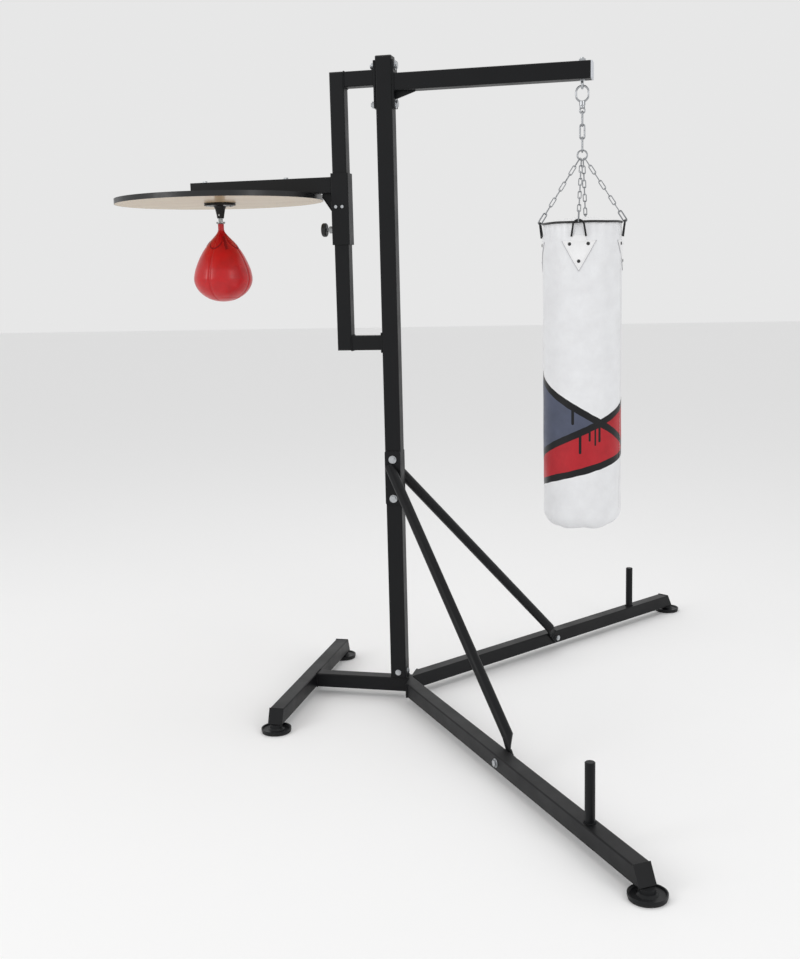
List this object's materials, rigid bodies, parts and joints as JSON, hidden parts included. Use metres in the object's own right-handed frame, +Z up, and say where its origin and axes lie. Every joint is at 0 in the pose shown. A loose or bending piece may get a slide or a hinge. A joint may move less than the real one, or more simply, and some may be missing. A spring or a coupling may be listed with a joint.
{
  "type": "punching bag stand",
  "caption": "Free-standing boxing station with a heavy bag hung from a boom and a speed bag swivelling under a height-adjustable round platform.",
  "frame": {"origin": "on the floor under the middle of the mast, which is also the middle of the footprint's bounding box", "axes": "+X along the boom to the heavy bag, +Y to the left of the boom, +Z up"},
  "size_m": [1.7399, 2.4052, 1.994],
  "materials": {
    "black_steel": "satin black powder coat",
    "inner_steel": "satin black powder coat",
    "zinc_fasteners": "bright zinc plate",
    "chain_steel": "nickel-plated chain",
    "hook_steel": "polished nickel plate",
    "dark_clips": "plated spring clips",
    "foot_steel": "pressed steel cup",
    "foot_rubber": "matt rubber",
    "peg_steel": "satin black powder coat",
    "cap_plastic": "moulded plug",
    "pale_cap": "pale moulded plug",
    "knob_plastic": "moulded knob",
    "liner_plastic": "nylon glide",
    "board_wood": "pale varnished board",
    "edge_band": "black edge band",
    "pin_steel": "turned steel",
    "spring_steel": "spring wire",
    "swivel_black": "black cast swivel",
    "speed_leather": "glossy red leather",
    "bladder_rubber": "inflated bladder",
    "bag_white": "coated fabric",
    "patch_white": "white patch",
    "webbing": "black webbing",
    "filling": "textile filling"
  },
  "bodies": {
    "stand": {"rear_stem": "black_steel", "rear_crossbar": "black_steel", "base_end_plates": "black_steel", "joint_plate": "black_steel", "leg_left": "black_steel", "leg_right": "black_steel", "foot_dishes": "foot_steel", "foot_pads": "foot_rubber", "weight_pegs": "peg_steel", "mast_liners": "inner_steel", "lower_mast": "black_steel", "upper_mast": "black_steel", "mast_plug": "cap_plastic", "brace_left": "black_steel", "brace_right": "black_steel", "through_bolts": "zinc_fasteners", "through_nuts": "zinc_fasteners", "mast_foot_bolts": "zinc_fasteners", "mast_foot_nuts": "zinc_fasteners", "mast_flanges": "black_steel", "boom_tube": "black_steel", "boom_end_cap": "pale_cap", "boom_bolts": "zinc_fasteners", "boom_nuts": "zinc_fasteners", "eye_bolt": "zinc_fasteners", "frame_post": "black_steel", "frame_caps": "cap_plastic", "frame_stubs": "black_steel"},
    "slider": {"slider_sleeve": "black_steel", "glide_liner": "liner_plastic", "platform_arm": "black_steel", "platform_board": "board_wood", "platform_edge_band": "edge_band", "board_bolts": "zinc_fasteners", "pan_screws": "zinc_fasteners", "pop_pin_barrel": "pin_steel", "pop_pin_spring": "spring_steel", "swivel_plate": "swivel_black"},
    "pop_pin": {"pop_pin_plunger": "pin_steel", "pop_pin_knob": "knob_plastic"},
    "speed_swivel": {"swivel_fork": "swivel_black", "fork_pin": "pin_steel"},
    "speed_bag": {"bag_shackle": "pin_steel", "speed_bag_cover": "speed_leather", "speed_bag_bladder": "bladder_rubber"},
    "hook": {"hook_body": "hook_steel"},
    "hook_gate": {"hook_gate": "hook_steel"},
    "hook_swivel": {"swivel_eye": "hook_steel"},
    "heavy_bag": {"upper_chain": "chain_steel", "chain_ring": "chain_steel", "bag_chain_1": "chain_steel", "bag_chain_2": "chain_steel", "bag_chain_3": "chain_steel", "bag_chain_4": "chain_steel", "snap_clips": "dark_clips", "bag_loops": "webbing", "bag_lid": "bag_white", "bag_cover": "bag_white", "bag_filling": "filling", "bag_patches": "patch_white"}
  },
  "joints": [
    {"name": "platform_height", "type": "slide", "parent": "stand", "child": "slider", "axis": [0, 0, 1], "range_m": [-0.255, 0.204]},
    {"name": "pin_push", "type": "slide", "parent": "slider", "child": "pop_pin", "axis": [1, 0, 0], "range_m": [0, 0.0085]},
    {"name": "speed_bag_turn", "type": "hinge", "parent": "slider", "child": "speed_swivel", "pos_m": [-0.545, 0, 1.55], "axis": [0, 0, 1], "continuous": true},
    {"name": "speed_bag_swing", "type": "hinge", "parent": "speed_swivel", "child": "speed_bag", "pos_m": [-0.545, 0, 1.55], "axis": [0, 1, 0], "range_deg": [-60, 60]},
    {"name": "hook_swing", "type": "hinge", "parent": "stand", "child": "hook", "pos_m": [0.585, 0, 1.8685], "axis": [0, -1, 0], "range_deg": [-15, 30]},
    {"name": "gate_open", "type": "hinge", "parent": "hook", "child": "hook_gate", "pos_m": [0.6024, 0, 1.8473], "axis": [0, -1, 0], "range_deg": [0, 25], "stiffness_Nm_per_rad": 0.02},
    {"name": "hook_turn", "type": "hinge", "parent": "hook", "child": "hook_swivel", "pos_m": [0.585, 0, 1.8143], "axis": [0, 0, 1], "continuous": true},
    {"name": "bag_swing", "type": "hinge", "parent": "hook_swivel", "child": "heavy_bag", "pos_m": [0.585, 0, 1.7988], "axis": [1, 0, 0], "range_deg": [-30, 30]}
  ]
}
